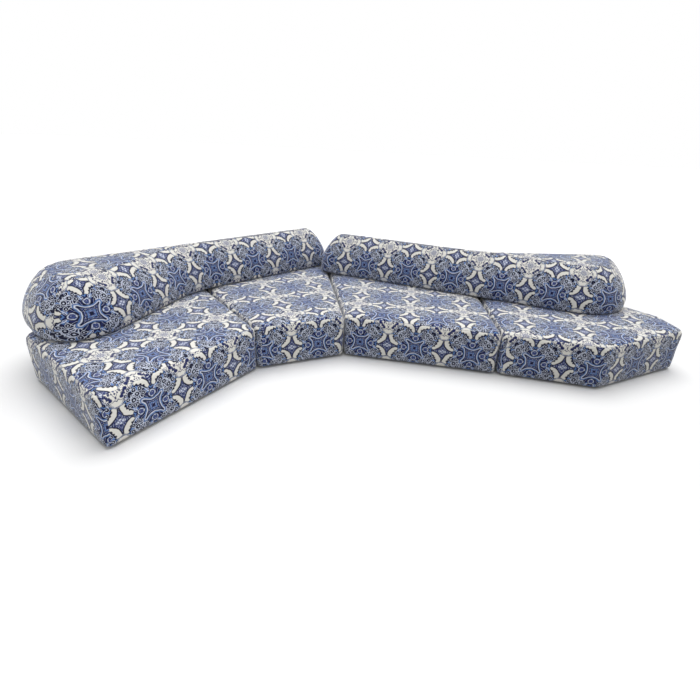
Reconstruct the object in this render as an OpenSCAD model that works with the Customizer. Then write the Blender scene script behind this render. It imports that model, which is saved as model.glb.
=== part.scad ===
// Modular sofa: four low floor-standing seats in a cranked row, with two loose
// club-shaped backrests lying on top of them. Lengths in millimetres, angles in
// degrees. The plan is walked along the front edge of the row, from the left seat
// to the right one. Headings are measured from the front edge of the third seat.

/* [Row plan] */
// Front length of the left seat
front_a = 1300; // [1200:10:1400]
// Heading of that front
heading_a = 69.5; // [66:0.5:73]
// Front length of the wedge seat
front_b = 745; // [700:5:800]
// Heading of that front
heading_b = 35.5; // [33:0.5:38]
// Front length of the third seat
front_c = 1275; // [1200:5:1350]
// Front length of the right seat
front_d = 770; // [700:5:850]
// Heading of that front
heading_d = -2.5; // [-5:0.5:2]
// Length of the seam between the left seat and the wedge
seam_ab = 1500; // [1450:10:1560]
// Heading of that seam
heading_ab = 136.5; // [135:0.5:138]
// Length of the seam between the wedge and the third seat
seam_bc = 1880; // [1820:10:1940]
// Heading of that seam
heading_bc = 110; // [108:0.5:112]
// Length of the seam between the third and the right seat
seam_cd = 1360; // [1320:10:1420]
// Heading of that seam
heading_cd = 99; // [97:0.5:101]
// Outer side of the left seat
side_a = 1225; // [1150:5:1300]
// Heading of that side
heading_side_a = 149.5; // [147:0.5:152]
// Rear corner cut of the left seat
rear_a = 800; // [740:10:860]
// Heading of that cut
heading_rear_a = 101; // [98:0.5:104]
// Outer side of the right seat
side_d = 960; // [900:5:1020]
// Heading of that side
heading_side_d = 38; // [35:0.5:41]
// Short end of the right seat
end_d = 335; // [300:5:370]
// Heading of that end
heading_end_d = 105; // [102:0.5:108]
// Rear side of the right seat
rear_d = 1000; // [940:10:1060]
// Heading of that rear side
heading_rear_d = 138; // [136:0.5:140]
// Gap between neighbouring seats, which stand pushed together
seat_gap = 0.6; // [0.6:0.2:8]

/* [Seat cover] */
// Height of the upholstered top edge
seat_h = 370; // [350:5:400]
// Rise of the crowned top above that edge
crown = 12; // [8:1:16]
// Width of the crowned border
crown_w = 260; // [220:10:280]
// Radius of the soft upper edge
edge_r = 45; // [30:1:55]
// Radius of the upright corners
corner_r = 70; // [60:1:80]
// How far the sides draw in towards the floor
taper = 4; // [2:1:8]
// How far each side bows in between its corners
side_bow = 6; // [3:1:10]
// Height of the hem above the floor
hem_gap = 8; // [6:1:12]
// How far up the hollow of the sides lies, as a share of the side
hollow_at = 0.4; // [0.3:0.05:0.5]
// Thickness of the padded cover
wall = 35; // [30:1:40]

/* [Seat inside] */
// Thickness of the rails and ribs
rail_t = 22; // [18:1:25]
// Height of the rails
rail_h = 120; // [100:5:135]
// Largest spacing of the ribs
rib_pitch = 420; // [380:5:440]
// How much lower the ribs stand than the rails
rib_drop = 14; // [10:1:18]
// Reach of the corner blocks from their corner
block_r = 130; // [115:1:150]
// How far the corner blocks stay clear of the upper and lower edges of the ribs
block_clear = 6; // [4:1:10]
// Thickness of the dust cover
dust_t = 1.5; // [1:0.5:2]
// How far the dust cover is set in above the hem
dust_in = 3; // [2:0.5:5]
// Width of a webbing belt
belt_w = 70; // [50:5:80]
// Thickness of a webbing belt
belt_t = 2; // [1.5:0.5:2.5]
// Spacing of the belts
belt_pitch = 145; // [125:5:160]
// Length of belt fixed on a rail
belt_seat = 16; // [12:1:18]
// Shortest belt that is fitted
belt_least = 300; // [250:10:400]

/* [Feet] */
// Diameter of a foot at the floor
foot_d = 50; // [44:1:56]
// Diameter of the foot under the dust cover
foot_top_d = 42; // [36:1:44]
// Chamfer of its lower rim
foot_rim = 3; // [2:0.5:4]
// Distance of a foot from the faces of the pocket
foot_in = 36; // [32:1:42]
// Diameter of a foot screw
screw_d = 5; // [4:0.5:6]
// Length of a foot screw above the foot
screw_len = 25; // [20:1:30]

/* [Backrest] */
// Length of the straight side
back_len = 3010; // [2930:10:3050]
// Width of the slim end
slim_w = 455; // [430:5:460]
// Width of the club end before rounding
club_w = 1200; // [1150:10:1250]
// Distance of the bend from the club end
bend_at = 1325; // [1280:5:1380]
// Height of the backrest
back_h = 392; // [370:2:410]
// Radius at the straight side of the club end
club_r = 460; // [440:5:490]
// Radius at the bent side of the club end
club_tip_r = 345; // [320:5:360]
// Level stretch left at the middle of the round slim end
slim_flat = 18; // [12:2:30]
// Radius of the inner bend
bend_r = 900; // [800:10:1000]
// Width of the rolled upper edge
roll_w = 217; // [190:1:220]
// How far the side tucks in underneath
tuck = 10; // [6:1:16]
// Height of the widest line as a share of the height
belly = 0.21; // [0.18:0.01:0.3]
// Fullness of the roll above it, where 2 is an ellipse and 1 a straight slope
fullness = 1.45; // [1.3:0.05:2]
// Thickness of the padded backrest cover at its hem
back_wall = 45; // [40:1:60]
// Thickness of the grip sheet underneath
grip_t = 2; // [1.5:0.5:3]
// Thickness of the base board
board_t = 15; // [12:1:18]
// How far the foam core stands in from the board's edge
core_step = 60; // [50:2:66]
// Height of the foam core as a share of the backrest
core_share = 0.66; // [0.6:0.01:0.7]

/* [Backrest places] */
// Heading of the left backrest
heading_left = 56; // [55:0.5:57]
// How far the left backrest reaches past the rear end of its seam
reach_left = 1468; // [1440:2:1490]
// How far the left backrest stands in from that rear end
inset_left = 24; // [15:1:40]
// Heading of the right backrest
heading_right = 168; // [167:0.5:169]
// How far the right backrest reaches past the rear end of its seam
reach_right = 1592; // [1570:2:1620]
// How far the right backrest stands in from that rear end
inset_right = 54; // [40:1:66]

/* [Hidden] */
// Places of the four seats in the row
A = 0;
B = 1;
C = 2;
D = 3;

// Colours as the photograph and the trade show them
fabric_c = [0.55, 0.58, 0.68];
foam_c = [0.93, 0.9, 0.78];
wood_c = [0.79, 0.64, 0.44];
belt_c = [0.2, 0.2, 0.22];
black_c = [0.08, 0.08, 0.09];
steel_c = [0.72, 0.73, 0.75];

// Clearances and heights that follow from the sizes above
fit = 0.3;
eps = 1;
least_r = 4;
corner_steps = 5;
side_steps = 4;
pocket_in = taper + side_bow + wall;
dust_z = hem_gap + dust_in;
frame_z = dust_z + dust_t;
belt_z = frame_z + rail_h;
foam_z = belt_z + 2 * belt_t + fit;
foam_top = seat_h - wall;
top_z = seat_h + crown;
back_z = top_z + fit;
bore_d = screw_d + 2 * fit;
head_d = 2 * screw_d;
head_h = screw_d * 0.6;
head_z = dust_z - 2 * head_h;

// Plan vectors
function toward(a) = [cos(a), sin(a)];
function cross2(u, v) = u[0] * v[1] - u[1] * v[0];
function unit(v) = v / norm(v);
function mean(points) = [for (p = points) 1 / len(points)] * points;
function left_of(v) = [-v[1], v[0]];
function next(i, n) = (i + 1) % n;
function prev(i, n) = (i + n - 1) % n;

// Crossing of the line through p along u with the line through q along v
function meet(p, u, q, v) = p + u * cross2(q - p, v) / cross2(u, v);

// A closed plan, walked anticlockwise, with every side moved inwards by d
function shrink(plan, d) = let (n = len(plan)) [
    for (i = [0 : n - 1])
        let (
            p = plan[i],
            u = unit(p - plan[prev(i, n)]),
            v = unit(plan[next(i, n)] - p)
        )
        meet(p + left_of(u) * d, u, p + left_of(v) * d, v)
];

// The same plan with an arc of k + 1 points at each corner, radius r[i], and m
// points between on each side, which bows inwards by up to bow
function soften(plan, r, k, m, bow) = let (
    n = len(plan),
    arcs = [for (i = [0 : n - 1]) corner(plan, i, r[i], k)]
) [
    for (i = [0 : n - 1])
        let (a = arcs[i][k], b = arcs[next(i, n)][0], inward = left_of(unit(b - a)))
        each concat(arcs[i], [
            for (j = [1 : m])
                let (t = j / (m + 1))
                a + (b - a) * t + inward * bow * 4 * t * (1 - t)
        ])
];

// The arc at corner i. The centre lies inside, or outside where the plan bends in
function corner(plan, i, r, k) = let (
    n = len(plan),
    p = plan[i],
    u = unit(plan[prev(i, n)] - p),
    v = unit(plan[next(i, n)] - p),
    half = acos(u * v) / 2,
    hub = p + unit(u + v) * r / sin(half),
    turn = 180 - 2 * half,
    side = cross2(v, u) > 0 ? 1 : -1,
    start = p + u * r / tan(half) - hub,
    from = atan2(start[1], start[0])
) [for (j = [0 : k]) hub + r * toward(from + side * turn * j / k)];

// Corner radii after a plan has moved inwards by d: outer ones close, inner ones open
function radii_at(plan, r, d) = let (n = len(plan)) [
    for (i = [0 : n - 1])
        let (
            u = plan[i] - plan[prev(i, n)],
            v = plan[next(i, n)] - plan[i]
        )
        cross2(u, v) > 0 ? max(r[i] - d, least_r) : r[i] + d
];

// Closed solid through equal rings of points, stacked from the floor upwards. Its
// two flat ends are fans round a hub that sees the whole ring
module stack(rings, hub) {
    n = len(rings[0]);
    top = len(rings) - 1;
    low = n * len(rings);
    high = low + 1;
    polyhedron(
        points = concat(
            [for (ring = rings) each ring],
            [[hub[0], hub[1], rings[0][0][2]], [hub[0], hub[1], rings[top][0][2]]]
        ),
        faces = concat(
            [for (j = [0 : n - 1]) [low, j, next(j, n)]],
            [
                for (i = [0 : top - 1], j = [0 : n - 1])
                    let (a = i * n + j, b = i * n + next(j, n))
                    each [[a, a + n, b + n], [a, b + n, b]]
            ],
            [for (j = [0 : n - 1]) [high, top * n + next(j, n), top * n + j]]
        )
    );
}

module block(plan, z, h) {
    translate([0, 0, z])
        linear_extrude(height = h)
            polygon(plan);
}

// Plan of the row: front corners, rear ends of the seams, outer corners
f0 = [0, 0];
f1 = f0 + front_a * toward(heading_a);
f2 = f1 + front_b * toward(heading_b);
f3 = f2 + front_c * toward(0);
f4 = f3 + front_d * toward(heading_d);
r1 = f1 + seam_ab * toward(heading_ab);
r2 = f2 + seam_bc * toward(heading_bc);
r3 = f3 + seam_cd * toward(heading_cd);
side_end_a = f0 + side_a * toward(heading_side_a);
rear_end_a = side_end_a + rear_a * toward(heading_rear_a);
side_end_d = f4 + side_d * toward(heading_side_d);
end_end_d = side_end_d + end_d * toward(heading_end_d);
rear_end_d = end_end_d + rear_d * toward(heading_rear_d);

ROW = [
    [f0, f1, r1, rear_end_a, side_end_a],
    [f1, f2, r2, r1],
    [f2, f3, r3, r2],
    [f3, f4, side_end_d, end_end_d, rear_end_d, r3]
];
FRONTS = [heading_a, heading_b, 0, heading_d];

// Plan of a backrest: the straight side runs along X, the body lies to its right
BACK = [[0, 0], [0, -club_w], [bend_at, -slim_w], [back_len, -slim_w], [back_len, 0]];
slim_r = (slim_w - slim_flat) / 2;
BACK_R = [club_r, club_tip_r, bend_r, slim_r, slim_r];

start_left = r1 + (reach_left - back_len) * toward(heading_left)
    + inset_left * toward(heading_left - 90);
start_right = r3 + (reach_right - back_len) * toward(heading_right)
    - (slim_w + inset_right) * toward(heading_right - 90);

// The origin of the row is the middle of everything, on the floor
function placed(points, at, a) = [
    for (p = points) at + p[0] * toward(a) + p[1] * toward(a + 90)
];
reach = concat(
    [for (plan = ROW) each seat_ring(plan, 0, 0)],
    placed(back_ring(0), start_left, heading_left),
    placed(back_ring(0), start_right, heading_right)
);
xs = [for (p = reach) p[0]];
ys = [for (p = reach) p[1]];
middle = [(min(xs) + max(xs)) / 2, (min(ys) + max(ys)) / 2];

function seat_plan(plan) = shrink(plan, seat_gap / 2);

// Outline of a seat, moved inwards by d and bowed in between its corners
function seat_ring(plan, d, bow) = let (
    inner = shrink(seat_plan(plan), d),
    r = [for (p = inner) max(corner_r - d, least_r)]
) soften(inner, r, corner_steps, side_steps, bow);

// Profile of a seat from its hem to its crown: height, inset, bow
edge_turns = [0, 30, 60, 90];
crown_turns = [0.3, 0.62, 1];
SEAT_PROFILE = concat(
    [
        [hem_gap, taper, side_bow / 2],
        [hem_gap + (seat_h - hem_gap) * hollow_at, taper * (1 - hollow_at), side_bow]
    ],
    [
        for (t = edge_turns)
            [seat_h - edge_r * (1 - sin(t)), edge_r * (1 - cos(t)), side_bow / 2 * cos(t)]
    ],
    [
        for (t = crown_turns)
            [seat_h + crown * sin(90 * t), edge_r + (crown_w - edge_r) * t, 0]
    ]
);

function level(points, z) = [for (p = points) [p[0], p[1], z]];

// Inner pocket of a seat cover, which holds frame, webbing and foam
function pocket(i) = shrink(seat_plan(ROW[i]), pocket_in);

module seat_cover(i) {
    color(fabric_c)
        difference() {
            stack([
                for (step = SEAT_PROFILE)
                    level(seat_ring(ROW[i], step[1], step[2]), step[0])
            ], mean(ROW[i]));
            block(pocket(i), -eps, foam_top + eps);
        }
}

module seat_foam(i) {
    color(foam_c)
        block(shrink(pocket(i), fit), foam_z, foam_top - fit - foam_z);
}

// Places along and across a seat's front, so that ribs and belts run square to it
function turned(plan, a) = [for (p = plan) [p * toward(a), p * toward(a + 90)]];
function span(plan, axis) = [
    min([for (p = plan) p[axis]]), max([for (p = plan) p[axis]])
];
// Even places between two ends, no further apart than pitch, ends left out
function stations(ends, pitch) = let (
    n = ceil((ends[1] - ends[0]) / pitch)
) [for (j = [1 : n - 1]) ends[0] + (ends[1] - ends[0]) * j / n];

// Where the line at place s across axis enters and leaves a convex plan
function crossing(plan, axis, s) = let (
    n = len(plan),
    hits = [
        for (i = [0 : n - 1])
            let (p = plan[i], q = plan[next(i, n)])
            if ((p[axis] - s) * (q[axis] - s) < 0)
                let (t = (s - p[axis]) / (q[axis] - p[axis]))
                p[1 - axis] + (q[1 - axis] - p[1 - axis]) * t
    ]
) [min(hits), max(hits)];

// The stretch that a band of width w keeps inside a convex plan
function stretch(plan, axis, s, w) = let (
    a = crossing(plan, axis, s - w / 2),
    b = crossing(plan, axis, s + w / 2)
) [max(a[0], b[0]), min(a[1], b[1])];

function foot_places(i) = shrink(pocket(i), foot_in);

module at_feet(i) {
    for (p = foot_places(i))
        translate([p[0], p[1], 0])
            children();
}

// Kite that fills corner i of a plan as far as block_r from it
function corner_block(plan, i) = let (
    n = len(plan),
    p = plan[i],
    u = unit(plan[prev(i, n)] - p),
    v = unit(plan[next(i, n)] - p)
) [p, p + v * block_r, p + unit(u + v) * block_r, p + u * block_r];

module seat_frame(i) {
    outer = shrink(pocket(i), fit);
    joined = shrink(outer, rail_t / 2);
    inner = shrink(outer, rail_t);
    square_on = turned(joined, FRONTS[i]);
    rib_h = rail_h - rib_drop;
    block_z = frame_z + block_clear;
    block_h = rib_h - 2 * block_clear;
    color(wood_c)
        difference() {
            union() {
                difference() {
                    block(outer, frame_z, rail_h);
                    block(inner, frame_z - eps, rail_h + 2 * eps);
                }
                intersection() {
                    block(joined, frame_z, rib_h);
                    rotate(FRONTS[i])
                        translate([0, 0, frame_z])
                            for (axis = [0, 1])
                                for (s = stations(span(square_on, axis), rib_pitch))
                                    rib(axis, s, span(square_on, 1 - axis), rib_h);
                }
                intersection() {
                    block(joined, block_z, block_h);
                    for (j = [0 : len(outer) - 1])
                        block(corner_block(outer, j), block_z, block_h);
                }
            }
            at_feet(i)
                translate([0, 0, frame_z - eps])
                    cylinder(d = bore_d, h = screw_len + eps, $fn = 32);
        }
}

module rib(axis, s, ends, h) {
    long = ends[1] - ends[0];
    corner_at = axis == 0 ? [s - rail_t / 2, ends[0], 0] : [ends[0], s - rail_t / 2, 0];
    size = axis == 0 ? [rail_t, long, h] : [long, rail_t, h];
    translate(corner_at)
        cube(size);
}

// Belts that run from the front lie flat. Those across them pass over one and
// under the next, and come down on to the rails at both ends
module seat_webbing(i) {
    rails = shrink(pocket(i), fit + rail_t - belt_seat);
    square_on = turned(rails, FRONTS[i]);
    off_rails = turned(shrink(pocket(i), fit + rail_t), FRONTS[i]);
    deep = stations(span(square_on, 0), belt_pitch);
    wide = stations(span(square_on, 1), belt_pitch);
    color(belt_c)
        rotate(FRONTS[i])
            translate([0, 0, belt_z]) {
                for (s = deep)
                    let (ends = stretch(square_on, 0, s, belt_w))
                    if (ends[1] - ends[0] > belt_least)
                        translate([s - belt_w / 2, ends[0], 0])
                            cube([belt_w, ends[1] - ends[0], belt_t]);
                for (j = [0 : len(wide) - 1])
                    woven_belt(square_on, off_rails, deep, wide[j], j % 2);
            }
}

// Underside of a woven belt over crossing number k, above the flat belts' underside
function weave(k, start) = (k + start) % 2 == 0 ? belt_t : -belt_t;

// Half of the level stretch that a woven belt keeps over or under a flat one
level_half = belt_w / 2 + belt_t;

// The flat belts, by number, that a band of the woven ones meets
function met(plan, deep, s, ends) = [
    for (k = [0 : len(deep) - 1])
        let (run = stretch(plan, 0, deep[k], belt_w))
        if (run[1] - run[0] > belt_least
            && run[0] < s + belt_w / 2 && run[1] > s - belt_w / 2
            && deep[k] + belt_w / 2 > ends[0] && deep[k] - belt_w / 2 < ends[1]) k
];

// End of a woven belt, level until it is clear of the rail: on the rail itself, or
// over the flat belts that lie there already
function landing(end, clear, over) = len(over) == 0
    ? [[end, 0], [clear, 0]]
    : [[end, belt_t], [clear, belt_t]];

module woven_belt(plan, off_rails, deep, s, start) {
    ends = stretch(plan, 1, s, belt_w);
    free = stretch(off_rails, 1, s, belt_w);
    crossed = met(plan, deep, s, ends);
    margin = level_half + belt_t;
    first = [for (k = crossed) if (deep[k] - margin < free[0]) k];
    last = [for (k = crossed) if (deep[k] + margin > free[1]) k];
    between = [
        for (k = crossed)
            if (deep[k] - margin >= free[0] && deep[k] + margin <= free[1]) k
    ];
    clear_first = max(concat([free[0]], [for (k = first) deep[k] + level_half]));
    clear_last = min(concat([free[1]], [for (k = last) deep[k] - level_half]));
    tail = landing(ends[1], clear_last, last);
    under = concat(
        landing(ends[0], clear_first, first),
        [
            for (k = between)
                each [
                    [deep[k] - level_half, weave(k, start)],
                    [deep[k] + level_half, weave(k, start)]
                ]
        ],
        [tail[1], tail[0]]
    );
    over = [for (j = [len(under) - 1 : -1 : 0]) under[j] + [0, belt_t]];
    if (clear_last - clear_first > belt_least / 2)
        translate([0, s + belt_w / 2, 0])
            rotate([90, 0, 0])
                linear_extrude(height = belt_w)
                    polygon(concat(under, over));
}

module seat_dust_cover(i) {
    color(black_c)
        difference() {
            block(shrink(pocket(i), fit), dust_z, dust_t);
            at_feet(i)
                translate([0, 0, dust_z - eps])
                    cylinder(d = bore_d, h = dust_t + 2 * eps, $fn = 32);
        }
}

// Round glide with a chamfered lower rim and a sunk seat for the screw head
module seat_feet(i) {
    color(black_c)
        at_feet(i)
            rotate_extrude($fn = 48)
                polygon([
                    [head_d / 2 + fit, 0], [foot_d / 2 - foot_rim, 0],
                    [foot_d / 2, foot_rim], [foot_top_d / 2, dust_z], [bore_d / 2, dust_z],
                    [bore_d / 2, head_z + head_h], [head_d / 2 + fit, head_z + head_h]
                ]);
}

module seat_screws(i) {
    color(steel_c)
        at_feet(i) {
            translate([0, 0, head_z])
                cylinder(d = head_d, h = head_h, $fn = 32);
            translate([0, 0, head_z + head_h])
                cylinder(d = screw_d, h = dust_z - head_z - head_h + dust_t + screw_len, $fn = 32);
        }
}

// Backrest outline moved inwards by d
function back_ring(d) = let (inner = shrink(BACK, d))
    soften(inner, radii_at(BACK, BACK_R, d), corner_steps + 2, side_steps, 0);

// Profile of a backrest: a short tuck underneath, a full belly, a rolled top
belly_z = belly * back_h;
function full(share) = pow(share, 2 / fullness);
BACK_PROFILE = concat(
    [for (t = [0, 40, 90]) [belly_z * (1 - cos(t)), tuck * (1 - sin(t))]],
    [
        for (t = [22, 40, 54, 66, 77, 90])
            [belly_z + (back_h - belly_z) * full(sin(t)), roll_w * (1 - full(cos(t)))]
    ]
);
board_in = tuck + back_wall;
core_in = board_in + core_step;

module on_left() {
    translate([start_left[0], start_left[1], back_z])
        rotate(heading_left)
            children();
}

module on_right() {
    translate([start_right[0], start_right[1], back_z])
        rotate(heading_right)
            children();
}

module backrest_cover() {
    color(fabric_c)
        difference() {
            stack(
                [for (step = BACK_PROFILE) level(back_ring(step[1]), step[0])],
                [bend_at, -slim_w / 2]
            );
            block(back_ring(board_in), -eps, grip_t + board_t + eps);
            block(back_ring(core_in), grip_t + board_t - eps,
                core_share * back_h - grip_t - board_t + eps);
        }
}

module backrest_core() {
    base = grip_t + board_t + fit;
    color(foam_c)
        block(back_ring(core_in + fit), base, core_share * back_h - fit - base);
}

module backrest_board() {
    color(wood_c)
        block(back_ring(board_in + fit), grip_t, board_t - fit);
}

module backrest_grip() {
    color(black_c)
        block(back_ring(board_in + fit), 0, grip_t);
}

module in_row() {
    translate([-middle[0], -middle[1], 0])
        children();
}

in_row() seat_cover(A);  // seat_a_cover
in_row() seat_foam(A);  // seat_a_foam
in_row() seat_webbing(A);  // seat_a_webbing
in_row() seat_frame(A);  // seat_a_frame
in_row() seat_dust_cover(A);  // seat_a_dust_cover
in_row() seat_feet(A);  // seat_a_feet
in_row() seat_screws(A);  // seat_a_screws
in_row() seat_cover(B);  // seat_b_cover
in_row() seat_foam(B);  // seat_b_foam
in_row() seat_webbing(B);  // seat_b_webbing
in_row() seat_frame(B);  // seat_b_frame
in_row() seat_dust_cover(B);  // seat_b_dust_cover
in_row() seat_feet(B);  // seat_b_feet
in_row() seat_screws(B);  // seat_b_screws
in_row() seat_cover(C);  // seat_c_cover
in_row() seat_foam(C);  // seat_c_foam
in_row() seat_webbing(C);  // seat_c_webbing
in_row() seat_frame(C);  // seat_c_frame
in_row() seat_dust_cover(C);  // seat_c_dust_cover
in_row() seat_feet(C);  // seat_c_feet
in_row() seat_screws(C);  // seat_c_screws
in_row() seat_cover(D);  // seat_d_cover
in_row() seat_foam(D);  // seat_d_foam
in_row() seat_webbing(D);  // seat_d_webbing
in_row() seat_frame(D);  // seat_d_frame
in_row() seat_dust_cover(D);  // seat_d_dust_cover
in_row() seat_feet(D);  // seat_d_feet
in_row() seat_screws(D);  // seat_d_screws
in_row() on_left() backrest_cover();  // backrest_left_cover
in_row() on_left() backrest_core();  // backrest_left_core
in_row() on_left() backrest_board();  // backrest_left_board
in_row() on_left() backrest_grip();  // backrest_left_grip
in_row() on_right() backrest_cover();  // backrest_right_cover
in_row() on_right() backrest_core();  // backrest_right_core
in_row() on_right() backrest_board();  // backrest_right_board
in_row() on_right() backrest_grip();  // backrest_right_grip
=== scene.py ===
"""Modular sofa: four low seats in a cranked row and two loose club-shaped backrests.

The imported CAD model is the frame. The covers, foams, belts and under-cloths are
built here as soft goods round it; the frames, boards, feet, screws and grip sheets
stay and get their finish. Lengths are in metres, headings in degrees from the front
edge of the third seat.
"""

import logging
import math
from collections.abc import Iterable, Sequence
from dataclasses import dataclass, field
from enum import Enum
from functools import reduce

import bmesh
import bpy
import numpy as np
from mathutils import Matrix, Vector, noise


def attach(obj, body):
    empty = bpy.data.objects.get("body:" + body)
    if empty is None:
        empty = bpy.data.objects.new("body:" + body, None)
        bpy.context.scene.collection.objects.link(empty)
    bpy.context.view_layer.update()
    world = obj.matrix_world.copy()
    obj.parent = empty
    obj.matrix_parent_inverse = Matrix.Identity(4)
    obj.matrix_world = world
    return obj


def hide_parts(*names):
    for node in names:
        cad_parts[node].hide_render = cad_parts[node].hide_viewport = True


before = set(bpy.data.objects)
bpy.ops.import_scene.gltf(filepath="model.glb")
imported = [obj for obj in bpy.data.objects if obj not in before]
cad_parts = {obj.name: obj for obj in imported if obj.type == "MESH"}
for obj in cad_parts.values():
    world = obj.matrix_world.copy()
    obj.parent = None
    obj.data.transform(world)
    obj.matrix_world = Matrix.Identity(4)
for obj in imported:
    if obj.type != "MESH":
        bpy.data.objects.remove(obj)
log = logging.getLogger("sofa")

Socket = bpy.types.NodeSocket
Colour = tuple[float, float, float]
Place = tuple[float, float, float]
Leg = tuple[float, float]
Paint = Socket | Colour
Term = Socket | float
Coat = tuple[Paint, Socket]

# Repeat of the print
REPEAT = 0.457
# Side of an even face
VOXEL = 0.018
# How near counts as the same place, and as on an outline, and the least divisor
SAME, NEAR, TINY = 1e-5, 1e-4, 1e-9
# Height over the hem from which an evened face is smoothed twice more
FOOT_H = 0.03
# How far from a seam's foot its cut reaches
CUT_REACH = 0.3
# How steeply a face looks down where it belongs to the underside
UNDERSIDE = -0.7
# Share by which a sewn place is held while a cover swells, and how deep it is drawn in
SEWN_HOLD, SEAM_DEPTH = 0.7, 0.0026
# Frames that a cover swells for, steps of its hold, and how its cloth behaves
SWELL_FRAMES, HOLD_STEPS = 20, 10
CLOTH = {
    "quality": 4,
    "mass": 0.4,
    "tension_stiffness": 25,
    "compression_stiffness": 25,
    "shear_stiffness": 10,
    "bending_stiffness": 2,
    "shrink_min": -0.01,
    "use_pressure": True,
    "vertex_group_mass": "held",
}
# Rate and share of each size of the small hollows that stuffing leaves
WAVES = ((5.5, 1.0), (13.0, 0.5))


class Seat(Enum):
    """The four seats, from the left end of the row to the right."""

    A = "a"
    B = "b"
    C = "c"
    D = "d"


class Side(Enum):
    """The two backrests."""

    LEFT = "left"
    RIGHT = "right"


class Surface(Enum):
    """What the surface of a plain finish is like up close."""

    PLY = "ply"
    FOAM = "foam"
    BELT = "belt"
    FELT = "felt"
    MOULDED = "moulded"
    RIBBED = "ribbed"
    BRUSHED = "brushed"


def towards(heading: float) -> Vector:
    """Unit vector in plan that points along a heading."""
    turn = math.radians(heading)
    return Vector((math.cos(turn), math.sin(turn)))


def walked(leg: Leg) -> Vector:
    """How far a leg of the plan leads."""
    return leg[0] * towards(leg[1])


def linear(red: int, green: int, blue: int) -> Colour:
    """Linear colour of a screen colour given from 0 to 255."""
    shares = (value / 255 for value in (red, green, blue))
    return tuple(s / 12.92 if s <= 0.04045 else ((s + 0.055) / 1.055) ** 2.4 for s in shares)


@dataclass(frozen=True)
class RowPlan:
    """Plan of the row, walked along its front edges from the left seat.

    Each leg of the walk has a length and a heading.
    """

    start: tuple[float, float] = (-1.27872, -1.70984)
    front_a: Leg = (1.300, 69.5)
    front_b: Leg = (0.745, 35.5)
    front_c: Leg = (1.275, 0.0)
    front_d: Leg = (0.770, -2.5)
    seam_ab: Leg = (1.500, 136.5)
    seam_bc: Leg = (1.880, 110.0)
    seam_cd: Leg = (1.360, 99.0)
    side_a: Leg = (1.225, 149.5)
    rear_a: Leg = (0.800, 101.0)
    side_d: Leg = (0.960, 38.0)
    end_d: Leg = (0.335, 105.0)
    rear_d: Leg = (1.000, 138.0)
    seat_gap: float = 0.0006
    back_len: float = 3.010
    slim_w: float = 0.455
    heading_left: float = 56.0
    reach_left: float = 1.468
    inset_left: float = 0.024
    heading_right: float = 168.0
    reach_right: float = 1.592
    inset_right: float = 0.054

    def corners(self) -> dict[Seat, list[Vector]]:
        """Walks the front edges, and from them the seams, sides and rears.

        Returns:
            Corners of each seat, anticlockwise from the left end of its front.
        """
        front = [Vector(self.start)]
        for leg in (self.front_a, self.front_b, self.front_c, self.front_d):
            front.append(front[-1] + walked(leg))
        rear_ab = front[1] + walked(self.seam_ab)
        rear_bc = front[2] + walked(self.seam_bc)
        rear_cd = front[3] + walked(self.seam_cd)
        side_end_a = front[0] + walked(self.side_a)
        rear_end_a = side_end_a + walked(self.rear_a)
        side_end_d = front[4] + walked(self.side_d)
        end_end_d = side_end_d + walked(self.end_d)
        rear_end_d = end_end_d + walked(self.rear_d)
        return {
            Seat.A: [front[0], front[1], rear_ab, rear_end_a, side_end_a],
            Seat.B: [front[1], front[2], rear_bc, rear_ab],
            Seat.C: [front[2], front[3], rear_cd, rear_bc],
            Seat.D: [front[3], front[4], side_end_d, end_end_d, rear_end_d, rear_cd],
        }

    def backrest_place(self, side: Side) -> tuple[Vector, float]:
        """Start of a backrest's straight side and its heading.

        Args:
            side: which backrest.

        Returns:
            The start in plan, and the heading in degrees.
        """
        corners = self.corners()
        if side is Side.LEFT:
            rear = corners[Seat.A][2]
            heading, reach = self.heading_left, self.reach_left
            step = self.inset_left
        else:
            rear = corners[Seat.C][2]
            heading, reach = self.heading_right, self.reach_right
            step = -(self.slim_w + self.inset_right)
        along = (reach - self.back_len) * towards(heading)
        return rear + along + step * towards(heading - 90), heading


def shrink(plan: Sequence[Vector], inset: float) -> list[Vector]:
    """The plan with every side moved inwards.

    Args:
        plan: corners, anticlockwise.
        inset: how far each side moves.

    Returns:
        The new corners.
    """
    out = []
    for i, point in enumerate(plan):
        before = (point - plan[i - 1]).normalized()
        after = (plan[(i + 1) % len(plan)] - point).normalized()
        start = point + Vector((-before.y, before.x)) * inset
        goal = point + Vector((-after.y, after.x)) * inset
        across = before.x * after.y - before.y * after.x
        gap = goal - start
        out.append(start + before * ((gap.x * after.y - gap.y * after.x) / across))
    return out


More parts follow.
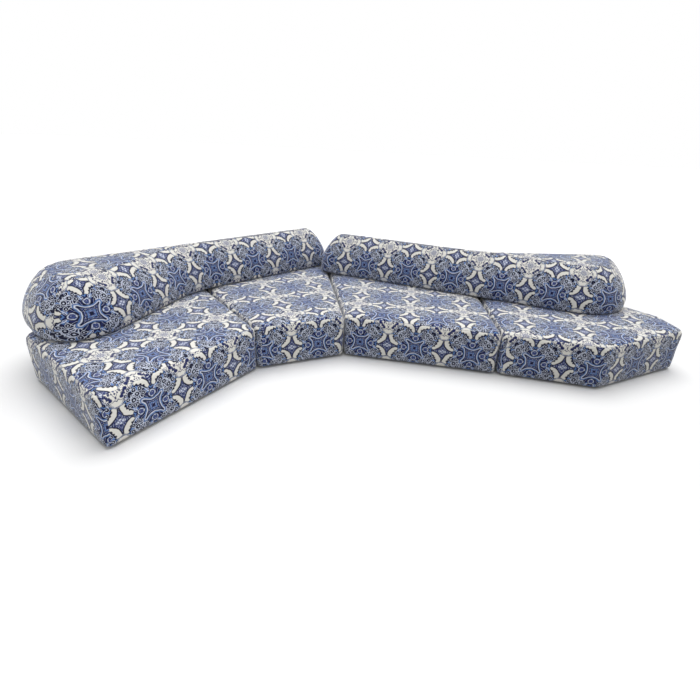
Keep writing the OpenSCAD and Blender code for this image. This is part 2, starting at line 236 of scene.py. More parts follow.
@dataclass
class Outline:
    """Closed plan outline of a cushion, dense enough to read distances from."""

    points: np.ndarray
    shift: float = 0.0

    def __post_init__(self) -> None:
        """Works out the sides and where each starts along the outline."""
        self.ends = np.roll(self.points, -1, axis=0)
        self.runs = self.ends - self.points
        self.lengths = np.linalg.norm(self.runs, axis=1)
        self.starts = np.concatenate([[0.0], np.cumsum(self.lengths)[:-1]])
        self.total = float(self.lengths.sum())

    def read(self, places: np.ndarray) -> tuple[np.ndarray, np.ndarray, np.ndarray]:
        """Where places in plan lie against the outline.

        Args:
            places: one row of x and y for each place.

        Returns:
            Distance inside the outline, place along it, and the inward direction.
        """
        gap = places[:, None, :] - self.points[None]
        share = (gap * self.runs[None]).sum(2) / (self.lengths**2)[None]
        share = np.clip(share, 0, 1)
        away = gap - share[..., None] * self.runs[None]
        far = np.linalg.norm(away, axis=2)
        near = far.argmin(1)
        rows = np.arange(len(places))
        distance = far[rows, near]
        along = self.starts[near] + share[rows, near] * self.lengths[near] + self.shift
        low, high = self.points[:, 1], self.ends[:, 1]
        level = places[:, 1:2]
        spans = (low[None] > level) != (high[None] > level)
        rise = np.where(high == low, TINY, high - low)
        cut = self.points[:, 0] + (level - low[None]) / rise[None] * self.runs[:, 0]
        inside = (spans & (places[:, 0:1] < cut)).sum(1) % 2 == 1
        normal = np.stack([-self.runs[near, 1], self.runs[near, 0]], 1)
        normal /= self.lengths[near][:, None]
        sign = np.where(inside, 1.0, -1.0)
        straight = away[rows, near] / np.maximum(distance, TINY)[:, None] * sign[:, None]
        inward = np.where((distance > NEAR)[:, None], straight, normal)
        return distance * sign, along, inward

    def taped(self, along: np.ndarray, inset: float, zero: float) -> np.ndarray:
        """Places along the outline as a tape laid inside it reads them.

        Args:
            along: places along the outline.
            inset: how far inside the outline the tape lies.
            zero: place where the tape and the outline read the same.

        Returns:
            The tape's readings, shorter round outer corners.
        """
        square = np.stack([-self.runs[:, 1], self.runs[:, 0]], 1) / self.lengths[:, None]
        mean = square + np.roll(square, 1, axis=0)
        tape = self.points + mean * inset * 2 / (mean**2).sum(1)[:, None]
        steps = np.linalg.norm(np.roll(tape, -1, axis=0) - tape, axis=1)
        marks = np.append(self.starts, self.total)
        reads = np.append(0.0, np.cumsum(steps))

        def measured(place: np.ndarray) -> np.ndarray:
            """The tape's reading from its own start, counting whole rounds."""
            rounds = np.floor((place - self.shift) / self.total)
            rest = place - self.shift - rounds * self.total
            return np.interp(rest, marks, reads) + rounds * reads[-1]

        return measured(along) - measured(np.array([zero])) + zero

    def at(self, along: float) -> tuple[Vector, Vector]:
        """Point of the outline at a place along it.

        Args:
            along: place along the outline.

        Returns:
            The point, and the way the outline runs there.
        """
        place = (along - self.shift) % self.total
        near = int(np.searchsorted(self.starts, place, side="right")) - 1
        way = self.runs[near] / self.lengths[near]
        return Vector(self.points[near] + way * (place - self.starts[near])), Vector(way)


def column(items: Sequence, name: str, width: int = 1, kind: type = float) -> np.ndarray:
    """One property of every item of a mesh, a number or a row of so many for each."""
    flat = np.empty(len(items) * width, kind)
    items.foreach_get(name, flat)
    return flat.reshape(-1, width) if width > 1 else flat


def vertices_of(mesh: bpy.types.Mesh) -> np.ndarray:
    """Coordinates of a mesh's vertices, one row each."""
    return column(mesh.vertices, "co", 3)


def place_vertices(mesh: bpy.types.Mesh, places: np.ndarray) -> None:
    """Puts a mesh's vertices at the given coordinates."""
    mesh.vertices.foreach_set("co", places.astype(np.float64).ravel())
    mesh.update()


def settled(piece: bpy.types.Object) -> None:
    """Applies a piece's modifiers to its mesh.

    Args:
        piece: the piece, which keeps no modifier.
    """
    graph = bpy.context.evaluated_depsgraph_get()
    graph.update()
    made = bpy.data.meshes.new_from_object(
        piece.evaluated_get(graph), preserve_all_data_layers=True, depsgraph=graph
    )
    piece.modifiers.clear()
    old = piece.data
    piece.data = made
    bpy.data.meshes.remove(old)


def in_scene(name: str, data: bpy.types.ID) -> bpy.types.Object:
    """A new object in the scene that shows a mesh, a lamp or a camera."""
    made = bpy.data.objects.new(name, data)
    bpy.context.scene.collection.objects.link(made)
    return made


def linked(name: str, shape: bmesh.types.BMesh) -> bpy.types.Object:
    """A new object in the scene from a finished bmesh, which is freed.

    Args:
        name: what the object and its mesh are called.
        shape: the finished shape.

    Returns:
        The object.
    """
    mesh = bpy.data.meshes.new(name)
    shape.to_mesh(mesh)
    shape.free()
    return in_scene(name, mesh)


def read_back(piece: bpy.types.Object) -> bmesh.types.BMesh:
    """A bmesh of a piece's mesh, to be worked on."""
    shape = bmesh.new()
    shape.from_mesh(piece.data)
    return shape


def put_back(piece: bpy.types.Object, shape: bmesh.types.BMesh) -> None:
    """Gives a piece its worked bmesh, which is freed."""
    shape.to_mesh(piece.data)
    shape.free()


def rounded(
    shape: bmesh.types.BMesh, edges: list, width: float, steps: int, clamp: bool = False
) -> None:
    """Rounds edges of a shape.

    Args:
        shape: the shape.
        edges: its edges to round.
        width: how far from each edge the round starts.
        steps: faces across the round.
        clamp: whether rounds stop where they meet.
    """
    bmesh.ops.bevel(
        shape,
        geom=edges,
        offset=width,
        offset_type="OFFSET",
        segments=steps,
        profile=0.5,
        affect="EDGES",
        material=-1,
        clamp_overlap=clamp,
    )


def split_large(shape: bmesh.types.BMesh) -> None:
    """Splits a shape's faces of more than four corners."""
    bmesh.ops.triangulate(shape, faces=[f for f in shape.faces if len(f.verts) > 4])


def dress(piece: bpy.types.Object, material: bpy.types.Material) -> None:
    """Gives a piece one material all over."""
    piece.data.materials.clear()
    piece.data.materials.append(material)


@dataclass(frozen=True)
class Lie:
    """How the print lies on one panel: a star's place, the turn of the rows, and
    how much closer than on flat cloth the stars stand along the band."""

    star: tuple[float, float]
    turn: float = 0.0
    draw_in: float = 1.0


@dataclass
class Cushion:
    """A stuffed cover: side band, top panel, hem, and the print on each.

    The print's lies are one for the top, and one for each panel of the band with
    the place along the outline where that panel starts.
    """

    body: str
    finish_slot: str
    corners: list[Vector]
    radii: list[float]
    low: float
    high: float
    edge: float
    seam: float
    bands: list[tuple[float, Lie]]
    top: Lie
    fill: float = 0.9
    swell: float = 0.006
    pressure: float = 4.0
    uneven: float = 0.0016
    slack: float = 0.002
    drop: float = 0.003
    reach: float = 0.15
    held_h: float = 0.03
    room_in: float = 0.0
    room_down: float = 0.0
    room_up: float = 0.0
    edge_steps: int = 5
    corner_steps: int = 8
    tape_in: float = 0.0
    tape_zero: float = 0.0
    outline: Outline = field(init=False)
    piece: bpy.types.Object = field(init=False)

    def block(self) -> bmesh.types.BMesh:
        """Raises a block over the plan, rounds its corners and reads its outline.

        Returns:
            The upright block.
        """
        shape = bmesh.new()
        base = shape.faces.new([shape.verts.new((p.x, p.y, self.low)) for p in self.corners])
        raised = bmesh.ops.extrude_face_region(shape, geom=[base])["geom"]
        tips = [v for v in raised if isinstance(v, bmesh.types.BMVert)]
        bmesh.ops.translate(shape, vec=(0, 0, self.high - self.low), verts=tips)
        for i, corner in enumerate(self.corners):
            before = (self.corners[i - 1] - corner).normalized()
            after = (self.corners[(i + 1) % len(self.corners)] - corner).normalized()
            half = before.angle(after) / 2
            uprights = [
                e for e in shape.edges if all((v.co.xy - corner).length < SAME for v in e.verts)
            ]
            rounded(shape, uprights, self.radii[i] / math.tan(half), self.corner_steps)
        floor = min(
            shape.faces, key=lambda f: (round(f.calc_center_median().z, 4), -len(f.verts))
        )
        loop = [v.co.xy.copy() for v in floor.verts]
        area = sum(a.x * b.y - b.x * a.y for a, b in zip(loop, loop[1:] + loop[:1]))
        if area < 0:
            loop.reverse()
        first = self.corners[0]
        side = (self.corners[1] - first).normalized()
        ahead = [(p - first).dot(side) for p in loop]
        off = [abs((p - first).cross(side)) for p in loop]
        begin = min((i for i in range(len(loop)) if off[i] < NEAR), key=lambda i: ahead[i])
        loop = loop[begin:] + loop[:begin]
        self.outline = Outline(np.array([(p.x, p.y) for p in loop]), shift=ahead[begin])
        return shape

    def even_out(self) -> None:
        """Gives the piece even faces all over."""
        even = self.piece.modifiers.new("even faces", "REMESH")
        even.mode = "VOXEL"
        even.voxel_size = VOXEL
        settled(self.piece)
        shape = read_back(self.piece)
        upper = [v for v in shape.verts if v.co.z > self.low + FOOT_H]
        for group in (list(shape.verts), upper, upper):
            bmesh.ops.smooth_vert(
                shape, verts=group, factor=0.5, use_axis_x=True, use_axis_y=True, use_axis_z=True
            )
        put_back(self.piece, shape)

    def shell(self) -> None:
        """Makes the closed shell of even faces, before any moulding."""
        shape = self.block()
        rims = [e for e in shape.edges if all(abs(v.co.z - self.high) < SAME for v in e.verts)]
        rounded(shape, rims, self.edge, self.edge_steps)
        split_large(shape)
        bmesh.ops.recalc_face_normals(shape, faces=shape.faces)
        self.piece = linked(f"{self.body}_upholstery", shape)
        self.even_out()

    def mould(self, places: np.ndarray) -> np.ndarray:
        """Moves the shell's vertices into the cushion's own form."""
        return places

    def kept(self, places: np.ndarray) -> np.ndarray:
        """Brings swollen vertices back inside the room that the cushion has.

        Args:
            places: the vertices' coordinates.

        Returns:
            Their coordinates inside the room.
        """
        out = places.copy()
        inside, _, inward = self.outline.read(out[:, :2])
        over = np.minimum(inside - self.room_in, 0)
        out[:, :2] -= inward * over[:, None]
        out[:, 2] = np.clip(out[:, 2], self.low - self.room_down, self.high + self.room_up)
        return out

    def held(self, places: np.ndarray) -> np.ndarray:
        """Share from 0 to 1 by which each vertex is held: the hem and the underside."""
        return np.clip(1 - (places[:, 2] - self.low) / self.held_h, 0, 1)

    def climb(self, places: np.ndarray, inside: np.ndarray) -> np.ndarray:
        """Length of cloth from the hem up to each place on the band."""
        return places[:, 2] - self.low

    def waver(self, places: np.ndarray) -> np.ndarray:
        """Small hollows and swells, about a hand wide, that stuffing leaves."""
        sizes = [[n * noise.noise(Vector(p) * rate) for rate, n in WAVES] for p in places]
        return self.uneven * np.array(sizes).sum(1)

    def cut(self) -> None:
        """Cuts the shell along its seams and marks them."""
        shape = read_back(self.piece)
        cuts = [(Vector((0, 0, self.seam)), Vector((0, 0, 1)), None)]
        for start, _ in self.bands[1:]:
            foot, way = self.outline.at(start)
            cuts.append((Vector((*foot, self.seam)), Vector((*way, 0)), foot))
        for point, way, foot in cuts:

            def along(place: Vector) -> bool:
                """Whether a place belongs to this seam's panel edge."""
                if foot is None:
                    return True
                return (place.xy - foot).length < CUT_REACH and place.z < self.seam + NEAR

            faces = [f for f in shape.faces if along(f.calc_center_median())]
            bmesh.ops.bisect_plane(
                shape,
                geom=list({g for f in faces for g in (*f.verts, *f.edges, f)}),
                dist=VOXEL / 5,
                plane_co=point,
                plane_no=way,
                use_snap_center=True,
            )
            for e in shape.edges:
                if all(abs((v.co - point).dot(way)) < SAME and along(v.co) for v in e.verts):
                    e.seam = True
        put_back(self.piece, shape)

    def print_cloth(self) -> None:
        """Lays the print on the panels: the band along its length, the top flat."""
        mesh = self.piece.data
        places = vertices_of(mesh)
        inside, along, _ = self.outline.read(places[:, :2])
        up = self.climb(places, inside)
        layer = mesh.uv_layers.new(name="cloth")
        corner = column(mesh.loops, "vertex_index", kind=int)
        sizes = column(mesh.polygons, "loop_total", kind=int)
        owner = np.repeat(np.arange(len(sizes)), sizes)
        middle = column(mesh.polygons, "center", 3)
        facing = column(mesh.polygons, "normal", 3)
        flat = (middle[:, 2] > self.seam) | (facing[:, 2] < UNDERSIDE)
        u, v = along[corner].copy(), up[corner].copy()
        first = np.full(len(sizes), -np.inf)
        np.maximum.at(first, owner, u)
        wraps = (first[owner] - u) > self.outline.total / 2
        u[wraps] += self.outline.total
        starts = np.array([start for start, _ in self.bands[1:]])
        panel = np.searchsorted(starts, self.outline.read(middle[:, :2])[1])[owner]
        lies = np.array([(*lie.star, lie.draw_in) for _, lie in self.bands])
        u = self.outline.taped(u, self.tape_in, self.tape_zero)
        u = (u - lies[panel, 0]) * lies[panel, 2]
        v -= lies[panel, 1]
        turn = math.radians(self.top.turn)
        gap = places[corner][:, :2] - np.array(self.top.star)
        lie_u = gap[:, 0] * math.cos(turn) + gap[:, 1] * math.sin(turn)
        lie_v = -gap[:, 0] * math.sin(turn) + gap[:, 1] * math.cos(turn)
        on_top = flat[owner]
        u = np.where(on_top, lie_u, u)
        v = np.where(on_top, lie_v, v)
        layer.data.foreach_set("uv", np.stack([u, v], 1).ravel())

    def stuff(self) -> None:
        """Swells the cover with a cloth simulation, within its allowed swell."""
        piece = self.piece
        before = vertices_of(piece.data)
        hold = piece.vertex_groups.new(name="held")
        shares = self.held(before)
        painted_seam_shade = list({v for e in piece.data.edges if e.use_seam for v in e.vertices})
        shares[painted_seam_shade] = np.maximum(shares[painted_seam_shade], SEWN_HOLD)
        for step in range(1, HOLD_STEPS + 1):
            members = np.flatnonzero(np.round(shares * HOLD_STEPS) == step)
            if len(members):
                hold.add(members.tolist(), step / HOLD_STEPS, "REPLACE")
        cloth = piece.modifiers.new("swelling", "CLOTH")
        for name, value in CLOTH.items():
            setattr(cloth.settings, name, value)
        cloth.settings.uniform_pressure_force = self.pressure
        cloth.settings.effector_weights.gravity = 0
        cloth.collision_settings.use_collision = False
        cloth.point_cache.frame_start = 1
        cloth.point_cache.frame_end = SWELL_FRAMES
        scene = bpy.context.scene
        for number in range(1, SWELL_FRAMES + 1):
            scene.frame_set(number)
        settled(piece)
        scene.frame_set(1)
        piece.vertex_groups.clear()
        move = vertices_of(piece.data) - before
        size = np.linalg.norm(move, axis=1)
        log.info("%s swells by up to %.1f mm", piece.name, size.max() * 1000)
        scale = self.swell * np.tanh(size / (4 * self.swell)) / np.maximum(size, TINY)
        place_vertices(piece.data, self.kept(before + move * scale[:, None]))

    def finish(self, material: bpy.types.Material) -> None:
        """Smooths the cover, draws in its seams, marks them for painted shade, and hands it to the
        frame.

        Args:
            material: the cloth that it is dressed in.
        """
        piece = self.piece
        finer = piece.modifiers.new("finer", "SUBSURF")
        finer.levels = finer.render_levels = 1
        finer.uv_smooth = "PRESERVE_BOUNDARIES"
        settled(piece)
        shape = read_back(piece)
        shape.normal_update()
        # Marks the drawn-in seam vertices, which the cloth paints navy: painted shade in the seam
        # grooves
        seam_shade = shape.verts.layers.float.new("seam_shade")
        seams = {v for e in shape.edges if e.seam for v in e.verts}
        for v, move in [(v, v.normal * -SEAM_DEPTH) for v in seams]:
            v.co += move
            v[seam_shade] = 1.0
        put_back(piece, shape)
        place_vertices(piece.data, self.kept(vertices_of(piece.data)))
        piece.data.polygons.foreach_set("use_smooth", np.ones(len(piece.data.polygons), bool))
        piece.data.update()
        dress(piece, material)
        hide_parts(f"{self.body}_cover")
        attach(piece, self.body)

    def build(self, material: bpy.types.Material) -> None:
        """Makes the whole cushion, from its plan to the finished piece.

        Args:
            material: the cloth that it is dressed in.
        """
        self.shell()
        place_vertices(self.piece.data, self.mould(vertices_of(self.piece.data)))
        self.even_out()
        self.cut()
        self.print_cloth()
        self.stuff()
        self.finish(material)
        log.info("%s: %d faces", self.piece.name, len(self.piece.data.polygons))


@dataclass
class SeatCushion(Cushion):
    """A seat's cover: it draws in to the hem, bows in between its corners, its top
    is crowned, and it keeps off its neighbours and under the backrests."""

    held_h: float = 0.04
    room_in: float = 0.0005
    room_down: float = 0.001
    room_up: float = 0.012
    taper: float = 0.004
    bow: float = 0.006
    bow_lean: float = 0.8
    crown: float = 0.012
    crown_w: float = 0.260
    hem: float = 0.020
    pocket: float = 0.0065
    sole: float = 0.005

    def sag(self, along: np.ndarray) -> np.ndarray:
        """Share of the bow at places along the outline.

        Args:
            along: places along the outline.

        Returns:
            Shares from 0 at the corners to 1 half-way between them.
        """
        marks = self.outline.read(np.array([(p.x, p.y) for p in self.corners]))[1]
        marks = np.sort(marks % self.outline.total)
        place = along % self.outline.total
        slot = np.searchsorted(marks, place)
        low = marks[slot - 1]
        high = marks[slot % len(marks)]
        span = (high - low) % self.outline.total
        share = ((place - low) % self.outline.total) / np.maximum(span, TINY)
        return 4 * share * (1 - share)

    def mould(self, places: np.ndarray) -> np.ndarray:
        """Draws the sides in, crowns the top and hollows the underside.

        Args:
            places: the shell's vertices.

        Returns:
            Their places on the cushion.
        """
        inside, along, inward = self.outline.read(places[:, :2])
        rough = self.waver(places)
        out = places.copy()
        up = np.clip((places[:, 2] - self.low) / (self.high - self.low), 0, 1)
        near = np.clip(1 - inside / self.reach, 0, 1)
        bowed = self.bow * np.sin(np.pi * up**self.bow_lean) * self.sag(along)
        inset = self.taper * (1 - up) + bowed
        inset += self.slack + rough * np.clip(up * 4, 0, 1)
        out[:, :2] += inward * (inset * near)[:, None]
        lid = np.clip((places[:, 2] - (self.high - self.edge)) / self.edge, 0, 1)
        run = np.clip((inside - self.edge * 0.6) / (self.crown_w - self.edge), 0, 1)
        out[:, 2] += lid * ((self.crown - self.drop) * np.sin(np.pi / 2 * run) + rough)
        bottom = places[:, 2] < self.low + self.sole
        under = np.clip((inside - self.hem) / self.hem, 0, 1) * bottom
        out[:, 2] += self.pocket * under
        return out


@dataclass
class BackrestCushion(Cushion):
    """A backrest's cover: a short tuck underneath, a full belly and a rolled top. It
    keeps on the seats."""

    swell: float = 0.008
    reach: float = 0.12
    held_h: float = 0.02
    room_in: float = -0.001
    room_up: float = 0.003
    tuck: float = 0.010
    belly: float = 0.0823
    fullness: float = 1.45
    edge_steps: int = 12
    corner_steps: int = 12
    roll_steps: int = 120

    def full(self, share: np.ndarray) -> np.ndarray:
        """Share of the roll reached for a share of a plain round."""
        return np.maximum(share, 0) ** (2 / self.fullness)

    def climb(self, places: np.ndarray, inside: np.ndarray) -> np.ndarray:
        """Length of cloth from the hem up to each place on the band.

        Args:
            places: the cushion's vertices.
            inside: their distance inside the outline.

        Returns:
            The lengths.
        """
        rise = self.high - self.low - self.belly
        turns = np.radians(np.linspace(0, 90, self.roll_steps))
        out_by, up_by = self.edge * self.full(np.cos(turns)), rise * self.full(np.sin(turns))
        steps = np.hypot(np.diff(out_by), np.diff(up_by))
        lengths = self.belly + np.concatenate([[0], np.cumsum(steps)])
        z = places[:, 2] - self.low
        back = self.fullness / 2
        across = np.clip(1 - inside / self.edge, 0, 1) ** back
        above = np.clip((z - self.belly) / rise, 0, 1) ** back
        turn = np.arctan2(above, np.maximum(across, TINY))
        return np.where(z < self.belly, z, np.interp(turn, turns, lengths))

    def mould(self, places: np.ndarray) -> np.ndarray:
        """Rounds the sides: a tuck below the belly and a fuller roll above it.

        Args:
            places: the shell's vertices.

        Returns:
            Their places on the cushion.
        """
        inside, _, inward = self.outline.read(places[:, :2])
        rough = self.waver(places)
        out = places.copy()
        height = self.high - self.low
        round_from = self.high - self.edge
        rise = places[:, 2] - round_from
        turn = np.arctan2(np.maximum(rise, 0), np.maximum(self.edge - inside, TINY))
        over = self.edge * (np.cos(turn) - self.full(np.cos(turn))) * (inside < self.edge)
        share = np.clip((places[:, 2] - self.low) / (round_from - self.low), 0, 1)
        tuck = self.tuck * (1 - np.sqrt(np.maximum(0, 1 - (1 - share) ** 2)))
        near = np.clip(1 - inside / self.reach, 0, 1)
        move = np.where(rise > 0, over, tuck * near) + (self.slack + rough) * near
        out[:, :2] += inward * move[:, None]
        rolled = self.belly + (height - self.belly) * self.full(np.sin(turn))
        out[:, 2] = self.low + np.where(rise > 0, rolled, self.belly * share)
        out[:, 2] -= np.where(rise > 0, self.drop - rough, 0) * np.sin(turn)
        return out


@dataclass(frozen=True)
class SoftCopy:
    """A soft piece inside or under a cover: its solids, welded, their edges eased."""

    body: str
    part: str
    made_as: str
    finish_slot: str
    ease: float = 0.0
    steps: int = 1
    flat_turn: float = math.radians(1)
    sharp_turn: float = 0.5

    def build(self, material: bpy.types.Material) -> bpy.types.Object:
        """Makes the piece.

        Args:
            material: what it is dressed in.

        Returns:
            The finished piece.
        """
        node = f"{self.body}_{self.part}"
        shape = read_back(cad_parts[node])
        bmesh.ops.remove_doubles(shape, verts=shape.verts, dist=1e-6)
        bmesh.ops.dissolve_limit(
            shape, angle_limit=self.flat_turn, verts=shape.verts, edges=shape.edges
        )
        shape.normal_update()
        if self.ease:
            sharp = [
                e for e in shape.edges if e.is_manifold and e.calc_face_angle() > self.sharp_turn
            ]
            rounded(shape, sharp, self.ease, self.steps, clamp=True)
        split_large(shape)
        piece = linked(f"{self.body}_{self.made_as}", shape)
        dress(piece, material)
        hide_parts(node)
        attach(piece, self.body)
        log.info("%s: %d faces", piece.name, len(piece.data.polygons))
        return piece


class Pen:
    """Draws with shader nodes, one sum or shape at a time."""

    def __init__(self, tree: bpy.types.NodeTree) -> None:
        """Takes the node tree to draw in."""
        self.tree = tree

    def feed(self, node: bpy.types.Node, feeds: dict) -> None:
        """Links a node's sockets to others, or sets their values.

        Args:
            node: the node.
            feeds: a socket, a number or numbers for each socket's name or place.
        """
        for name, value in feeds.items():
            if isinstance(value, Socket):
                self.tree.links.new(value, node.inputs[name])
            else:
                node.inputs[name].default_value = value

    def node(self, kind: str, feeds: dict | None = None, **options: object) -> bpy.types.Node:
        """Adds a node.

        Args:
            kind: its type's name after ShaderNode.
            feeds: what its sockets are fed.
            **options: its own settings.

        Returns:
            The node.
        """
        made = self.tree.nodes.new(f"ShaderNode{kind}")
        for name, value in options.items():
            setattr(made, name, value)
        self.feed(made, feeds or {})
        return made

    def sum(self, operation: str, *terms: Term) -> Socket:
        """Result of one Math node."""
        return self.node("Math", dict(enumerate(terms)), operation=operation).outputs[0]

    def less(self, whole: Term, part: Term) -> Socket:
        """The whole less the part."""
        return self.sum("SUBTRACT", whole, part)

    def vector(self, operation: str, *terms: Socket | Place) -> Socket:
        """Result of one Vector Math node that gives a vector."""
        return self.node("VectorMath", dict(enumerate(terms)), operation=operation).outputs[0]

    def noise(
        self, place: Socket, scale: float, detail: float, twist: float = 0.0, dimensions: str = "3D"
    ) -> bpy.types.Node:
        """A noise read at a place, at a rate, with finer rates on top and a twist."""
        feeds = {"Vector": place, "Scale": scale, "Detail": detail, "Distortion": twist}
        return self.node("TexNoise", feeds, noise_dimensions=dimensions)

    def joined(self, shapes: Iterable[Socket]) -> Socket:
        """Distance outside the union of several shapes."""
        return reduce(lambda one, other: self.sum("MINIMUM", one, other), shapes)

    def fill(self, shape: Socket, grow: float = 0.0, blur: float = 0.004) -> Socket:
        """1 inside a shape that is grown by a distance, 0 outside, with a soft edge."""
        feeds = {"Value": self.less(shape, grow), "From Min": blur, "From Max": -blur}
        return self.node("MapRange", feeds, clamp=True).outputs["Result"]

    def line(self, shape: Socket, place: float, width: float) -> Socket:
        """1 on a line that runs along a shape's outline, at a distance from it."""
        return self.fill(self.sum("ABSOLUTE", self.less(shape, place)), width)

    def mix(self, under: Paint, over: Paint, share: Term) -> Socket:
        """Paints one colour over another.

        Args:
            under: the colour below.
            over: the colour above.
            share: how much of the upper one shows.

        Returns:
            The mixed colour.
        """
        made = self.node("Mix", {"Factor": share}, data_type="RGBA")
        places = [i for i, socket in enumerate(made.inputs) if socket.type == "RGBA"]
        for place, paint in zip(places, (under, over)):
            self.feed(made, {place: paint if isinstance(paint, Socket) else (*paint, 1.0)})
        return next(socket for socket in made.outputs if socket.type == "RGBA")

    def painted(self, under: Paint, *coats: Coat) -> Socket:
        """Paints coats, each a colour and how much of it shows, one over the other."""
        return reduce(lambda below, coat: self.mix(below, *coat), coats, under)

    def bump(self, height: Socket, strength: float, depth: float) -> Socket:
        """Normal of a surface with fine relief, where a height of 1 is so deep."""
        feeds = {"Height": height, "Strength": strength, "Distance": depth}
        return self.node("Bump", feeds).outputs[0]


def new_material(name: str) -> tuple[bpy.types.Material, bpy.types.Node]:
    """A new material and its shader."""
    made = bpy.data.materials.new(name)
    made.use_nodes = True
    return made, made.node_tree.nodes["Principled BSDF"]


class Tile(Pen):
    """Pen for a print that mirrors in every tile.

    Its point is folded on to a quarter of a tile and counts in repeats of the print.
    A star is at (0, 0), a medallion at (0.5, 0) and lace at (0, 0.5). The seeds only
    set the grounds of a print apart.
    """

    def __init__(self, tree: bpy.types.NodeTree) -> None:
        """Folds the cloth's own map, which drifts a little as drawn lines do.

        Args:
            tree: the node tree to draw in.
        """
        super().__init__(tree)
        self.cloth = self.node("UVMap", uv_map="cloth").outputs["UV"]
        shake = self.noise(self.cloth, 26.0, 1.0, dimensions="2D").outputs["Color"]
        drift = self.vector("MULTIPLY", self.vector("SUBTRACT", shake, (0.5,) * 3), (0.013,) * 3)
        grown = self.vector("MULTIPLY", self.vector("ADD", self.cloth, drift), (1 / REPEAT,) * 3)
        parts = self.node("SeparateXYZ", {0: grown}).outputs
        x, y = (self.sum("PINGPONG", parts[i], 0.5) for i in (0, 1))
        past = self.sum("MAXIMUM", self.less(self.sum("ADD", x, y), 0.5), 0.0)
        self.x, self.y = self.less(x, past), self.less(y, past)
        self.point = self.node("CombineXYZ", {0: self.x, 1: self.y}).outputs[0]

    def circle(self, x: float, y: float, radius: float) -> Socket:
        """Distance of the point outside a circle, negative inside it."""
        feeds = {0: self.point, 1: (x, y, 0.0)}
        far = self.node("VectorMath", feeds, operation="DISTANCE").outputs["Value"]
        return self.less(far, radius)

    def moved(self, x: float, y: float, z: float) -> Socket:
        """The point, moved to another stretch of a noise."""
        return self.vector("ADD", self.point, (x, y, z))

    def scrolls(self, scale: float, width: float, seed: float) -> Socket:
        """1 on thin curling lines."""
        lines = self.noise(self.moved(seed, seed * 0.7, seed), scale, 1.2, twist=0.9).outputs[0]
        return self.fill(self.sum("ABSOLUTE", self.less(lines, 0.5)), width, 0.012)

    def flecks(self, scale: float, seed: float) -> Socket:
        """1 on soft uneven flecks, as ink takes on a pile."""
        spots = self.noise(self.moved(seed, seed, seed), scale, 2.0).outputs[0]
        return self.fill(self.less(0.5, spots), blur=0.07)

    def petals(self, scale: float, size: float, seed: float) -> Socket:
        """1 on many small round petals, as large as a share of the way between them."""
        feeds = {"Vector": self.moved(seed, seed * 0.3, 0.0), "Scale": scale, "Randomness": 0.85}
        cells = self.node("TexVoronoi", feeds, voronoi_dimensions="2D", feature="F1")
        return self.fill(cells.outputs["Distance"], size, 0.05)


